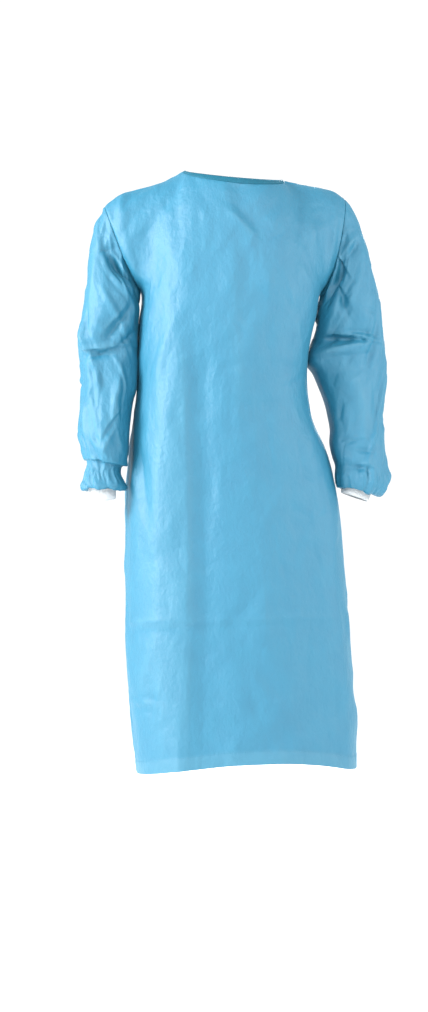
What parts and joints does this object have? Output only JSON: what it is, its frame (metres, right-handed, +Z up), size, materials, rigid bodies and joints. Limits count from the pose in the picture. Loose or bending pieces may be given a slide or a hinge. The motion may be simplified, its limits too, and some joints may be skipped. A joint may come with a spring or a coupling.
{
  "type": "surgical gown",
  "caption": "Long-sleeved surgical gown in its worn, hollow form: set-in sleeves gathered to knit cuffs, bound round neck, lapped back and waist ties.",
  "frame": {"origin": "the middle of the neck opening, where the neck of the wearer holds the gown", "axes": "+Z up along the wearer's body, the front faces -Y, the wearer's left is +X"},
  "size_m": [0.5891, 0.3182, 1.1488],
  "materials": {
    "cloth": "matt light sky-blue nonwoven",
    "binding": "matt turquoise bias binding",
    "knit": "white rib knit"
  },
  "bodies": {
    "root": {"front": "cloth", "back_right": "cloth", "back_left": "cloth", "sleeve_right": "cloth", "sleeve_left": "cloth", "tie_right": "cloth", "tie_left": "cloth", "tie_knot": "cloth", "tie_end_right": "cloth", "tie_end_left": "cloth", "neck_binding": "binding", "cuff_right": "knit", "cuff_left": "knit"}
  },
  "joints": []
}
